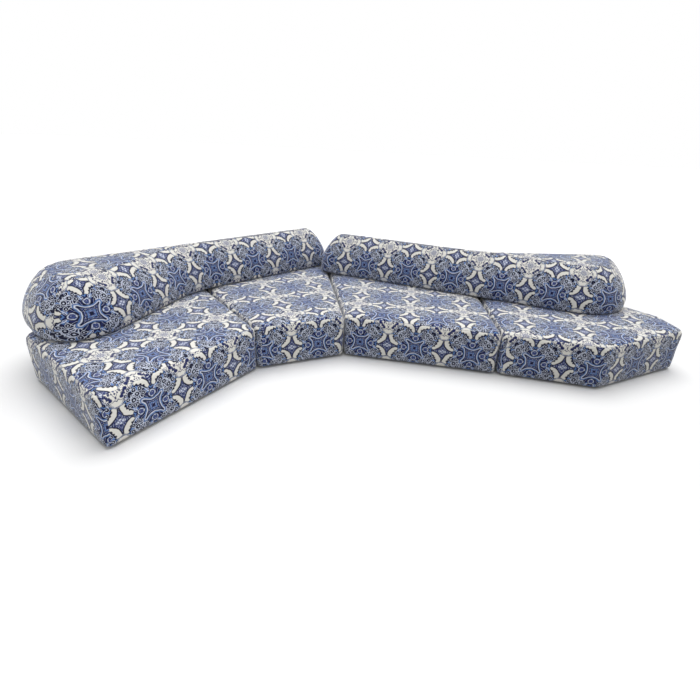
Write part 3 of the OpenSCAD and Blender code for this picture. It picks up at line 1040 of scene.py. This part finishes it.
@dataclass(frozen=True)
class TilePrint:
    """Printed upholstery cloth in the style of blue and ivory tiles."""

    navy: Colour = linear(17, 21, 48)
    ink: Colour = linear(32, 41, 90)
    blue: Colour = linear(64, 81, 140)
    wash: Colour = linear(96, 134, 194)
    pale: Colour = linear(216, 223, 238)
    ivory: Colour = linear(233, 231, 224)
    slate: Colour = linear(78, 90, 138)
    roughness: float = 0.85
    specular: float = 0.25
    sheen: float = 0.5
    sheen_roughness: float = 0.4

    def ground(self, tile: Tile) -> Socket:
        """Dark leaves round the medallions, and ivory ground round the lace.

        Args:
            tile: the pen.

        Returns:
            The ground's colour.
        """
        dark = tile.painted(
            self.navy,
            (self.ink, tile.flecks(7.0, 3.0)),
            (self.wash, tile.scrolls(4.5, 0.03, 7.0)),
            (self.pale, tile.scrolls(7.5, 0.034, 0.0)),
            (self.navy, tile.petals(7.0, 0.3, 2.0)),
            (self.pale, tile.scrolls(9.0, 0.02, 4.0)),
        )
        light = tile.painted(
            self.ivory,
            (self.ink, tile.petals(9.5, 0.27, 5.0)),
            (self.ink, tile.scrolls(7.5, 0.02, 5.0)),
        )
        return tile.mix(light, dark, tile.fill(tile.less(tile.y, tile.x), 0.2, 0.02))

    def lace(self, tile: Tile) -> list[Coat]:
        """Two rings of beads round a rose, on ivory.

        Args:
            tile: the pen.

        Returns:
            Its coats.
        """
        far = tile.circle(0.0, 0.5, 0.0)
        turn = tile.sum("ARCTAN2", tile.x, tile.less(0.5, tile.y))
        beads = []
        for colour, ring, width, count in (
            (self.slate, 0.062, 0.012, 12.0),
            (self.ink, 0.092, 0.013, 16.0),
        ):
            wave = tile.sum("COSINE", tile.sum("MULTIPLY", turn, count))
            spread = tile.sum("MULTIPLY", tile.less(1.0, wave), width * 0.7)
            off = tile.sum("ABSOLUTE", tile.less(far, ring))
            beads.append((colour, tile.fill(tile.sum("ADD", off, spread), width)))
        return [
            (self.ivory, tile.fill(far, 0.1, 0.01)),
            *beads,
            (self.slate, tile.line(far, 0.042, 0.006)),
            (self.slate, tile.line(far, 0.024, 0.005)),
            (self.ink, tile.fill(far, 0.011)),
        ]

    def medallion(self, tile: Tile) -> list[Coat]:
        """Concave square with a pale lobe on each side and a double outline.

        Args:
            tile: the pen.

        Returns:
            Its coats.
        """
        lobe = tile.circle(0.303, 0.0, 0.05)
        square = tile.less(0.202, tile.circle(0.21, 0.0, 0.0))
        square = tile.sum("MAXIMUM", square, tile.less(0.36, tile.x))
        mottled = tile.painted(
            self.blue,
            (self.ink, tile.flecks(34.0, 2.0)),
            (self.pale, tile.scrolls(24.0, 0.02, 9.0)),
        )
        return [
            (self.ink, tile.fill(square, 0.045)),
            (self.wash, tile.line(square, 0.034, 0.006)),
            (self.pale, tile.line(square, 0.017, 0.007)),
            (mottled, tile.fill(square)),
            (self.navy, tile.line(square, 0.0, 0.006)),
            (self.navy, tile.line(square, -0.03, 0.005)),
            (self.wash, tile.line(square, -0.044, 0.006)),
            (self.navy, tile.fill(square, -0.066)),
            (self.navy, tile.fill(lobe, 0.012)),
            (tile.mix(self.pale, self.blue, tile.flecks(30.0, 8.0)), tile.fill(lobe)),
            (self.ink, tile.line(lobe, -0.02, 0.004)),
            (self.ink, tile.fill(lobe, -0.04)),
        ]

    def blossoms(self, tile: Tile) -> list[Coat]:
        """Dark round blossoms with a light ring, behind the crescents.

        Args:
            tile: the pen.

        Returns:
            Its coats.
        """
        places = (
            (0.162, 0.162, 0.034),
            (0.225, 0.21, 0.042),
            (0.245, 0.125, 0.032),
            (0.15, 0.245, 0.036),
            (0.12, 0.32, 0.028),
        )
        near = tile.joined([tile.sum("DIVIDE", tile.circle(x, y, 0.0), r) for x, y, r in places])
        return [
            (self.navy, tile.fill(near, 1.0, 0.1)),
            (self.pale, tile.line(near, 0.88, 0.08)),
            (self.pale, tile.fill(near, 0.26, 0.1)),
        ]

    def star(self, tile: Tile) -> list[Coat]:
        """Four-pointed star, each hollow side with an ivory crescent that is blunt
        and bitten towards the upright points.

        Args:
            tile: the pen.

        Returns:
            Its coats.
        """
        mid_x, mid_y, bite_at = 0.299, 0.238, 0.203
        hollow = tile.circle(0.2, 0.2, 0.0)
        reach = tile.sum("ADD", tile.x, tile.y)
        body = tile.sum("MAXIMUM", tile.less(0.188, hollow), tile.less(reach, 0.205))
        outer = tile.less(0.206, tile.circle(mid_x, mid_y, 0.0))
        moon = tile.sum("MAXIMUM", tile.less(hollow, 0.184), outer)
        moon = tile.sum("MAXIMUM", moon, tile.circle(0.083, 0.1, 0.124))
        turns = [math.radians(turn) for turn in (195, 209, 223)]
        bites = tile.joined(
            [
                tile.circle(mid_x + bite_at * math.cos(a), mid_y + bite_at * math.sin(a), 0.018)
                for a in turns
            ]
        )
        petal = tile.joined([tile.circle(0.03, 0.0, 0.014), tile.circle(0.0, 0.03, 0.014)])
        mottled = tile.painted(
            self.slate,
            (self.ink, tile.flecks(30.0, 6.0)),
            (self.pale, tile.scrolls(20.0, 0.02, 6.0)),
        )
        return [
            (self.navy, tile.fill(moon, 0.008)),
            (self.ivory, tile.fill(moon)),
            (self.navy, tile.fill(bites)),
            (mottled, tile.fill(body)),
            (self.ink, tile.line(reach, 0.12, 0.005)),
            (self.ink, tile.line(reach, 0.085, 0.005)),
            (self.pale, tile.fill(petal)),
            (self.navy, tile.line(body, -0.003, 0.009)),
        ]

    def material(self, name: str) -> bpy.types.Material:
        """Makes the cloth's material: print, weave, painted shade along the seams and a brushed
        sheen.

        Args:
            name: what it is called.

        Returns:
            The material.
        """
        made, shader = new_material(name)
        tile = Tile(made.node_tree)
        coats = [*self.lace(tile), *self.medallion(tile), *self.blossoms(tile), *self.star(tile)]
        colour = tile.painted(self.ground(tile), *coats)
        seam_shade = tile.node("Attribute", attribute_name="seam_shade").outputs["Fac"]
        # Painted shade: the cloth turns navy along the marked seam grooves
        painted_seam_shade = tile.fill(tile.less(0.86, seam_shade), blur=0.06)
        weave = tile.noise(tile.cloth, 900.0, 2.0, dimensions="2D").outputs[0]
        feeds = {
            "Base Color": tile.mix(colour, self.navy, painted_seam_shade),
            "Normal": tile.bump(weave, 0.3, 0.0008),
            "Roughness": self.roughness,
            "Specular IOR Level": self.specular,
            "Sheen Weight": self.sheen,
            "Sheen Roughness": self.sheen_roughness,
        }
        tile.feed(shader, feeds)
        return made


@dataclass(frozen=True)
class Finish:
    """A finish without a print: two close colours, a grain and how deep it is."""

    name: str
    surface: Surface
    colour: Colour
    second: Colour
    roughness: float
    rate: float = 1.0
    stretch: Place = (1.0, 1.0, 1.0)
    depth: float = 0.0004
    metallic: float = 0.0
    sheen: float = 0.0

    def grain(self, pen: Pen, place: Socket) -> Socket:
        """Draws the surface's grain.

        Args:
            pen: what it is drawn with.
            place: places on the piece, in metres.

        Returns:
            The grain from 0 to 1.
        """
        if self.surface is Surface.FOAM:
            return pen.node("TexVoronoi", {"Vector": place, "Scale": self.rate}).outputs["Distance"]
        if self.surface in (Surface.BELT, Surface.RIBBED):
            ways = ("X", "Y") if self.surface is Surface.BELT else ("X",)
            feeds = {"Vector": place, "Scale": self.rate}
            ribs = [pen.node("TexWave", feeds, bands_direction=way).outputs["Fac"] for way in ways]
            return pen.sum("MULTIPLY", *ribs) if len(ribs) > 1 else ribs[0]
        if self.surface in (Surface.PLY, Surface.BRUSHED):
            place = pen.vector("MULTIPLY", place, self.stretch)
        return pen.noise(place, self.rate, 3.0).outputs[0]

    def material(self) -> bpy.types.Material:
        """Makes the finish's material.

        Returns:
            The material.
        """
        made, shader = new_material(self.name)
        pen = Pen(made.node_tree)
        grain = self.grain(pen, pen.node("TexCoord").outputs["Object"])
        feeds = {
            "Base Color": pen.mix(self.colour, self.second, grain),
            "Normal": pen.bump(grain, 0.5, self.depth),
            "Roughness": self.roughness,
            "Metallic": self.metallic,
            "Sheen Weight": self.sheen,
        }
        pen.feed(shader, feeds)
        return made


WOOD, CUT = linear(214, 182, 136), linear(186, 146, 98)
TIMBER = Finish("birch plywood", Surface.PLY, WOOD, CUT, 0.6, stretch=(9.0, 9.0, 160.0))
CREAM, HONEY = linear(240, 232, 200), linear(214, 202, 164)
FOAM = Finish("open foam", Surface.FOAM, CREAM, HONEY, 0.95, rate=420.0)
COAL, ASH = linear(38, 38, 44), linear(84, 84, 92)
BELTING = Finish("woven belting", Surface.BELT, COAL, ASH, 0.8, rate=160.0, sheen=0.2)
SOOT, LINT = linear(18, 18, 20), linear(40, 40, 44)
UNDER_CLOTH = Finish("black felt cloth", Surface.FELT, SOOT, LINT, 0.95, rate=700.0)
PITCH, SCUFF = linear(20, 20, 23), linear(36, 36, 40)
GLIDE = Finish("moulded glide", Surface.MOULDED, PITCH, SCUFF, 0.55, rate=1500.0)
ZINC, DULL = linear(190, 194, 200), linear(160, 165, 172)
BRUSH = (900.0, 900.0, 60.0)
STEEL = Finish("zinc plated steel", Surface.BRUSHED, ZINC, DULL, 0.35, 1.0, BRUSH, 0.0001, 1.0)
RUBBER, WORN = linear(28, 28, 31), linear(52, 52, 56)
GRIP = Finish("ribbed grip sheet", Surface.RIBBED, RUBBER, WORN, 0.85, rate=60.0)


@dataclass(frozen=True)
class Studio:
    """White studio: floor, soft lamps, and the camera of the photograph."""

    lens: float = 23.96
    film_w: float = 36.0
    place: Place = (0.4913, -3.5998, 1.7688)
    right: Place = (0.9790, 0.1995, 0.0412)
    up: Place = (-0.1218, 0.4113, 0.9033)
    ahead: Place = (-0.1632, 0.8894, -0.4270)
    shift: float = -1 / 700
    ambient: float = 0.42
    key: float = 2.5
    key_place: Place = (0.0, 1.4, 5.0)
    key_spread: float = 56.0
    floor_half: float = 40.0
    floor_shown: float = 0.88
    floor_lit: float = 0.5
    glow: float = 0.6
    glow_from: float = 3.5
    glow_to: float = 8.0

    def camera(self) -> None:
        """Camera at the photograph's place, pitch and roll."""
        data = bpy.data.cameras.new("camera")
        data.sensor_width = self.film_w
        data.lens = self.lens
        data.shift_x = self.shift
        data.clip_start = 0.05
        data.clip_end = 200
        made = in_scene("camera", data)
        turn = Matrix((self.right, self.up, [-a for a in self.ahead])).transposed()
        made.rotation_mode = "QUATERNION"
        made.location = self.place
        made.rotation_quaternion = turn.to_quaternion()
        bpy.context.scene.camera = made

    def lamp(self, data: bpy.types.Light, place: Place, aim: Place) -> None:
        """Puts a lamp in place.

        Args:
            data: the lamp.
            place: where it hangs.
            aim: what it points at.
        """
        made = in_scene(data.name, data)
        made.location = place
        made.visible_camera = False
        made.rotation_mode = "QUATERNION"
        made.rotation_quaternion = (Vector(aim) - Vector(place)).to_track_quat("-Z", "Y")

    def lamps(self) -> None:
        """Hangs a wide soft light over the row, and two weak panels at its left end."""
        wide = bpy.data.lights.new("overhead", "SUN")
        wide.energy = self.key
        wide.angle = math.radians(self.key_spread)
        self.lamp(wide, self.key_place, (0, 0, 0))
        for name, place, aim, size, power in (
            ("front of the left seat", (0.1, -2.0, 0.35), (-1.05, -1.0, 0.15), 0.7, 5),
            ("left end", (-2.9, -2.9, 0.4), (-1.8, -1.4, 0.2), 0.8, 3),
        ):
            panel = bpy.data.lights.new(name, "AREA")
            panel.size = size
            panel.energy = power
            self.lamp(panel, place, aim)

    def seen(self, pen: Pen) -> Socket:
        """1 for rays that show a background: camera, mirror and glass rays."""
        rays = pen.node("LightPath").outputs
        seen = pen.sum("MAXIMUM", rays["Is Camera Ray"], rays["Is Glossy Ray"])
        return pen.sum("MAXIMUM", seen, rays["Is Transmission Ray"])

    def surroundings(self) -> None:
        """World that lights the object at a plain level and is white where it is seen."""
        world = bpy.data.worlds.new("studio")
        bpy.context.scene.world = world
        world.use_nodes = True
        pen = Pen(world.node_tree)
        extra = pen.sum("MULTIPLY", self.seen(pen), 1 - self.ambient)
        power = pen.sum("ADD", extra, self.ambient)
        back = world.node_tree.nodes["Background"]
        pen.feed(back, {"Color": (1, 1, 1, 1), "Strength": power})

    def floor(self) -> None:
        """Wide pale floor, white where it is seen, that keeps the object's shadow."""
        shape = bmesh.new()
        bmesh.ops.create_grid(shape, x_segments=1, y_segments=1, size=self.floor_half)
        piece = linked("floor", shape)
        made, shader = new_material("studio floor")
        pen = Pen(made.node_tree)
        seen = self.seen(pen)
        place = pen.node("TexCoord").outputs["Object"]
        far = pen.node("VectorMath", {0: place}, operation="LENGTH").outputs["Value"]
        feeds = {"Value": far, "From Min": self.glow_from, "From Max": self.glow_to}
        away = pen.node("MapRange", {**feeds, "To Max": self.glow}, clamp=True).outputs["Result"]
        feeds = {
            "Base Color": pen.mix([self.floor_lit] * 3, [self.floor_shown] * 3, seen),
            "Roughness": 1.0,
            "Specular IOR Level": 0.0,
            "Emission Color": (1, 1, 1, 1),
            "Emission Strength": pen.sum("MULTIPLY", seen, away),
        }
        pen.feed(shader, feeds)
        dress(piece, made)

    def build(self) -> None:
        """Sets up the studio."""
        self.camera()
        self.surroundings()
        self.floor()
        self.lamps()
        bpy.context.scene.view_settings.view_transform = "Standard"


@dataclass
class Sofa:
    """The whole sofa: four seats in a row and two backrests on them."""

    plan: RowPlan = field(default_factory=RowPlan)
    low: float = 0.008
    seat_h: float = 0.370
    seat_edge: float = 0.038
    seat_round: float = 0.035
    seat_seam: float = 0.357
    star_h: float = 0.155
    back_low: float = 0.3823
    back_h: float = 0.392
    back_edge: float = 0.217
    back_seam: float = 0.0085
    back_outline: tuple[tuple[float, float], ...] = (
        (0.0, 0.0),
        (0.0, -1.2),
        (1.325, -0.455),
        (3.010, -0.455),
        (3.010, 0.0),
    )
    back_rounds: tuple[float, ...] = (0.46, 0.345, 0.9, 0.2185, 0.2185)

    def seats(self, cloth: bpy.types.Material) -> None:
        """Builds the four seat covers, each with its own lie of the print.

        Args:
            cloth: what they are covered in.
        """
        lies = {
            Seat.A: (0.12, Lie((-1.379, -1.352), 64.2)),
            Seat.B: (0.28, Lie((-0.793, 0.012), 36.0)),
            Seat.C: (0.362, Lie((0.302, 0.061), 3.7)),
            Seat.D: (0.02, Lie((1.241, 0.194), -4.1)),
        }
        for seat, corners in self.plan.corners().items():
            star_at, top = lies[seat]
            SeatCushion(
                body=f"seat_{seat.value}",
                finish_slot="seat_fabric",
                corners=shrink(corners, self.plan.seat_gap / 2),
                radii=[self.seat_round] * len(corners),
                low=self.low,
                high=self.seat_h,
                edge=self.seat_edge,
                seam=self.seat_seam,
                bands=[(0.0, Lie((star_at, self.star_h - self.low)))],
                top=top,
            ).build(cloth)

    def backrests(self, cloth: bpy.types.Material) -> None:
        """Builds the two backrest covers, the one turned round against the other.

        Args:
            cloth: what they are covered in.
        """
        lies = {
            Side.LEFT: [(0.0, Lie((0.66, -0.086))), (0.90, Lie((1.88, 0.185), draw_in=1.02))],
            Side.RIGHT: [(0.0, Lie((4.591, 0.150), draw_in=1.02))],
        }
        for side in Side:
            start, heading = self.plan.backrest_place(side)
            ahead, left = towards(heading), towards(heading + 90)
            BackrestCushion(
                body=f"backrest_{side.value}",
                finish_slot="backrest_fabric",
                corners=[start + x * ahead + y * left for x, y in self.back_outline],
                radii=list(self.back_rounds),
                low=self.back_low,
                high=self.back_low + self.back_h,
                edge=self.back_edge,
                seam=self.back_low + self.back_h - self.back_seam,
                bands=lies[side],
                top=Lie((start.x, start.y), heading),
                tape_in=0.1,
                tape_zero=1.9 if side is Side.LEFT else 5.5,
            ).build(cloth)

    def insides(self) -> None:
        """Builds the pads, belts and under-cloths from their solids."""
        foam, belting, under = FOAM.material(), BELTING.material(), UNDER_CLOTH.material()
        for seat in Seat:
            body = f"seat_{seat.value}"
            pad = SoftCopy(body, "foam", "foam_pad", "foam", ease=0.010, steps=3)
            pad.build(foam)
            belts = SoftCopy(body, "webbing", "belts", "webbing", ease=0.0003)
            belts.build(belting)
            piece = SoftCopy(body, "dust_cover", "under_cloth", "dust_cloth").build(under)
        for side in Side:
            body = f"backrest_{side.value}"
            core = SoftCopy(body, "core", "foam_core", "foam", ease=0.012, steps=3)
            core.build(foam)

    def carried(self) -> None:
        """Dresses the solids that show as they are."""
        timber = TIMBER.material()
        finishes = {
            "_frame": timber,
            "_feet": GLIDE.material(),
            "_screws": STEEL.material(),
            "_grip": GRIP.material(),
            "_board": timber,
        }
        for name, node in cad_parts.items():
            for ending, material in finishes.items():
                if name.endswith(ending):
                    for place in node.material_slots:
                        place.material = material

    def build(self) -> None:
        """Builds every piece in order."""
        cloth = TilePrint().material("printed cloth")
        self.seats(cloth)
        self.backrests(cloth)
        self.insides()
        self.carried()


def main() -> None:
    """Builds the studio and the sofa."""
    logging.basicConfig(level=logging.INFO, format="%(message)s")
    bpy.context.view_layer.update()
    Studio().build()
    Sofa().build()


if __name__ == "__main__":
    main()
